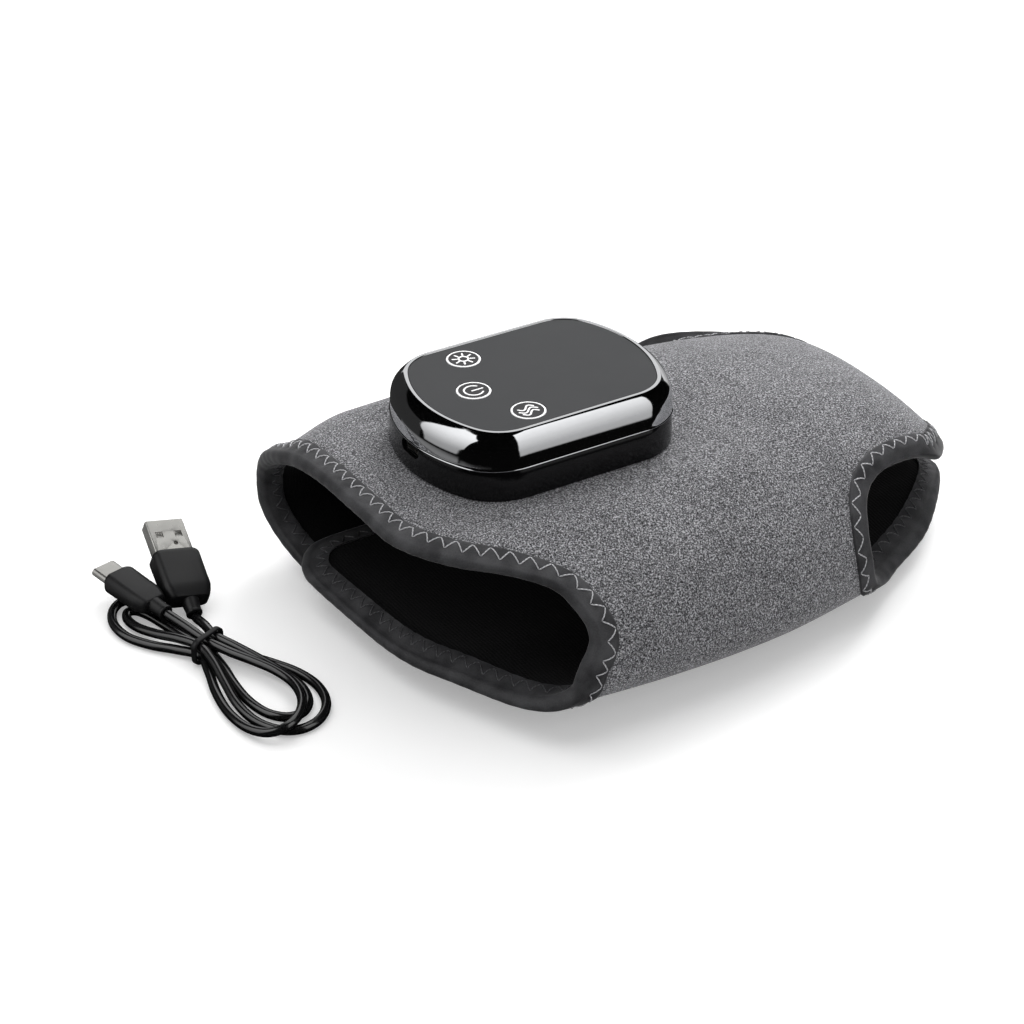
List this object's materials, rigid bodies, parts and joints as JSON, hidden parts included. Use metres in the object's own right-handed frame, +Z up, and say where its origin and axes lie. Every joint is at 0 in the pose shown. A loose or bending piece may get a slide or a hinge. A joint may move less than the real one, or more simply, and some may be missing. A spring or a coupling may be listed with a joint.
{
  "type": "foot massager",
  "caption": "Wearable foot massager: padded fabric wrap closed into a loop, control pod with round keys and chrome bezel on top, and a coiled USB charging cord beside it.",
  "frame": {"origin": "on the floor plane, straight below the centre of the control pod", "axes": "+X along the pod and the foot tunnel, from the mouth with the charging port to the tongue; +Y to the far fold of the wrap, so the keys are read from -X; +Z up through the pod"},
  "size_m": [0.2507, 0.1474, 0.0752],
  "materials": {
    "velour": "grey marled short-pile velour",
    "foam": "soft polyurethane foam",
    "heater": "woven heating pad",
    "mesh_lining": "black brushed lining",
    "binding": "dark grey stretch binding tape",
    "hook_tape": "black hook tape",
    "black_abs": "glossy black moulded ABS",
    "inner_abs": "matt black moulded ABS",
    "chrome": "bright chrome plating on ABS",
    "panel": "satin charcoal panel",
    "key_black": "satin black keys with white printed rings",
    "circuit": "green solder mask",
    "steel": "plain steel",
    "cell_wrap": "foil pouch",
    "lead": "flat flexible lead",
    "plug_steel": "nickel-plated steel",
    "white_insert": "white insulator",
    "cord_pvc": "black satin flexible PVC"
  },
  "bodies": {
    "wrap_and_pod": {"outer_fabric": "velour", "foam_core": "foam", "heating_pad": "heater", "lining": "mesh_lining", "front_binding": "binding", "rear_binding": "binding", "hook_patch": "hook_tape", "pod_base": "black_abs", "mid_frame": "inner_abs", "bezel_ring": "chrome", "top_panel": "panel", "circuit_board": "circuit", "heat_switch": "steel", "power_switch": "steel", "massage_switch": "steel", "charge_socket": "steel", "charge_board": "circuit", "battery_cell": "cell_wrap", "heater_lead": "lead", "motor_can": "steel", "motor_cradle": "inner_abs", "clamp_plate": "inner_abs", "clamp_screw_1": "steel", "clamp_screw_2": "steel", "clamp_screw_3": "steel", "clamp_screw_4": "steel"},
    "heat_key": {"heat_key": "key_black"},
    "power_key": {"power_key": "key_black"},
    "massage_key": {"massage_key": "key_black"},
    "rotor": {"motor_shaft": "steel", "eccentric_weight": "steel"},
    "charging_cable": {"usb_a_shell": "plug_steel", "usb_a_tongue": "white_insert", "usb_a_moulding": "cord_pvc", "usb_a_relief": "cord_pvc", "usb_c_shell": "plug_steel", "usb_c_tongue": "cord_pvc", "usb_c_moulding": "cord_pvc", "usb_c_relief": "cord_pvc", "charging_cord": "cord_pvc", "cable_tie": "cord_pvc"}
  },
  "joints": [
    {"name": "heat_key_press", "type": "slide", "parent": "wrap_and_pod", "child": "heat_key", "axis": [0, 0, -1], "range_m": [0, 0.0005], "stiffness_N_per_m": 400, "springref_m": -0.0012},
    {"name": "power_key_press", "type": "slide", "parent": "wrap_and_pod", "child": "power_key", "axis": [0, 0, -1], "range_m": [0, 0.0005], "stiffness_N_per_m": 400, "springref_m": -0.0012},
    {"name": "massage_key_press", "type": "slide", "parent": "wrap_and_pod", "child": "massage_key", "axis": [0, 0, -1], "range_m": [0, 0.0005], "stiffness_N_per_m": 400, "springref_m": -0.0012},
    {"name": "motor_spin", "type": "hinge", "parent": "wrap_and_pod", "child": "rotor", "pos_m": [0.027, 0, 0.063], "axis": [0, 1, 0], "continuous": true},
    {"name": "cable_lift", "type": "slide", "parent": "wrap_and_pod", "child": "charging_cable", "axis": [0, 0, 1], "range_m": [0, 0.1]}
  ]
}
